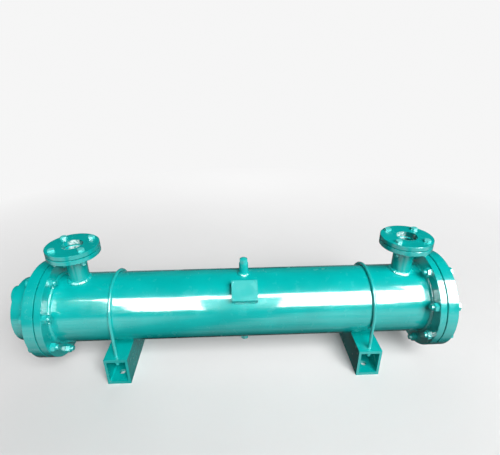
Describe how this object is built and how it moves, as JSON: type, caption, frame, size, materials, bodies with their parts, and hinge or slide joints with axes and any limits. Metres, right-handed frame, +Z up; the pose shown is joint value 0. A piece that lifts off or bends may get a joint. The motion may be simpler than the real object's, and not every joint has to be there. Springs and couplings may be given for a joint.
{
  "type": "hydraulic oil cooler",
  "caption": "Horizontal shell-and-tube hydraulic oil cooler with flanged oil nozzles on top, a water cover, a floating return end and two box saddles with U-bolts.",
  "frame": {"origin": "foot plane, at the centre of the four anchor holes, under the shell's axis", "axes": "+X along the shell towards the return cover, +Y to the back, +Z up"},
  "size_m": [1.412, 0.308, 0.442],
  "materials": {
    "body_enamel": "glossy teal green enamel",
    "saddle_enamel": "glossy teal green enamel on plate",
    "fastener_enamel": "glossy teal green enamel over steel",
    "plate_enamel": "semi-gloss lighter teal, blank",
    "gasket_rubber": "matte dark gasket sheet",
    "seal_rubber": "black nitrile",
    "leak_ring_steel": "dark machined steel",
    "tube_copper": "drawn copper",
    "bundle_steel": "machined steel, oiled"
  },
  "bodies": {
    "cooler": {"baffles": "bundle_steel", "companion_flange_left": "body_enamel", "companion_flange_right": "body_enamel", "cover_bolts_left": "fastener_enamel", "cover_bolts_right": "fastener_enamel", "cover_nuts_left": "fastener_enamel", "cover_nuts_right": "fastener_enamel", "drain_boss": "body_enamel", "fixed_tube_sheet": "bundle_steel", "heat_exchange_tubes": "tube_copper", "leak_ring_right": "leak_ring_steel", "nameplate": "plate_enamel", "nameplate_bracket": "body_enamel", "nameplate_rivets": "plate_enamel", "nozzle_bolts_left": "fastener_enamel", "nozzle_bolts_right": "fastener_enamel", "nozzle_flange_left": "body_enamel", "nozzle_flange_right": "body_enamel", "nozzle_gasket_left": "gasket_rubber", "nozzle_gasket_right": "gasket_rubber", "nozzle_neck_left": "body_enamel", "nozzle_neck_right": "body_enamel", "nozzle_nuts_left": "fastener_enamel", "nozzle_nuts_right": "fastener_enamel", "pass_partition": "body_enamel", "return_cover_dome": "body_enamel", "return_cover_flange": "body_enamel", "saddle_base_plate_left": "saddle_enamel", "saddle_base_plate_right": "saddle_enamel", "saddle_inner_plate_left": "saddle_enamel", "saddle_inner_plate_right": "saddle_enamel", "saddle_outer_plate_left": "saddle_enamel", "saddle_outer_plate_right": "saddle_enamel", "saddle_top_plate_left": "saddle_enamel", "saddle_top_plate_right": "saddle_enamel", "shell_flange_left": "body_enamel", "shell_flange_right": "body_enamel", "shell_gasket_left": "gasket_rubber", "shell_tube": "body_enamel", "spacer_tubes": "bundle_steel", "tie_rod_nuts": "bundle_steel", "tie_rods": "bundle_steel", "u_bolt_left": "fastener_enamel", "u_bolt_nuts": "fastener_enamel", "u_bolt_right": "fastener_enamel", "u_bolt_washers": "fastener_enamel", "vent_boss": "body_enamel", "water_cover_barrel": "body_enamel", "water_cover_flange": "body_enamel", "water_cover_gasket": "gasket_rubber", "water_port_lower": "body_enamel", "water_port_upper": "body_enamel"},
    "vent_seal": {"vent_washer": "fastener_enamel"},
    "vent_screw": {"vent_plug": "fastener_enamel"},
    "drain_seal": {"drain_washer": "fastener_enamel"},
    "drain_screw": {"drain_plug": "fastener_enamel"},
    "floating_head": {"floating_tube_sheet": "bundle_steel", "floating_head_o_rings": "seal_rubber"}
  },
  "joints": [
    {"name": "vent_lift", "type": "slide", "parent": "cooler", "child": "vent_seal", "axis": [0, 0, 1], "range_m": [0, 0.012]},
    {"name": "vent_turn", "type": "hinge", "parent": "vent_seal", "child": "vent_screw", "pos_m": [0.005, 0, 0.356], "axis": [0, 0, 1], "range_deg": [0, 2376]},
    {"name": "drain_drop", "type": "slide", "parent": "cooler", "child": "drain_seal", "axis": [0, 0, -1], "range_m": [0, 0.012]},
    {"name": "drain_turn", "type": "hinge", "parent": "drain_seal", "child": "drain_screw", "pos_m": [0.005, 0, 0.071], "axis": [0, 0, -1], "range_deg": [0, 2376]},
    {"name": "floating_head_slide", "type": "slide", "parent": "cooler", "child": "floating_head", "axis": [1, 0, 0], "range_m": [-0.001, 0.0015]}
  ],
  "couplings": [
    {"joint": "vent_lift", "follows": "vent_turn", "m_per_rad": 0.00028871},
    {"joint": "drain_drop", "follows": "drain_turn", "m_per_rad": 0.00028871}
  ]
}
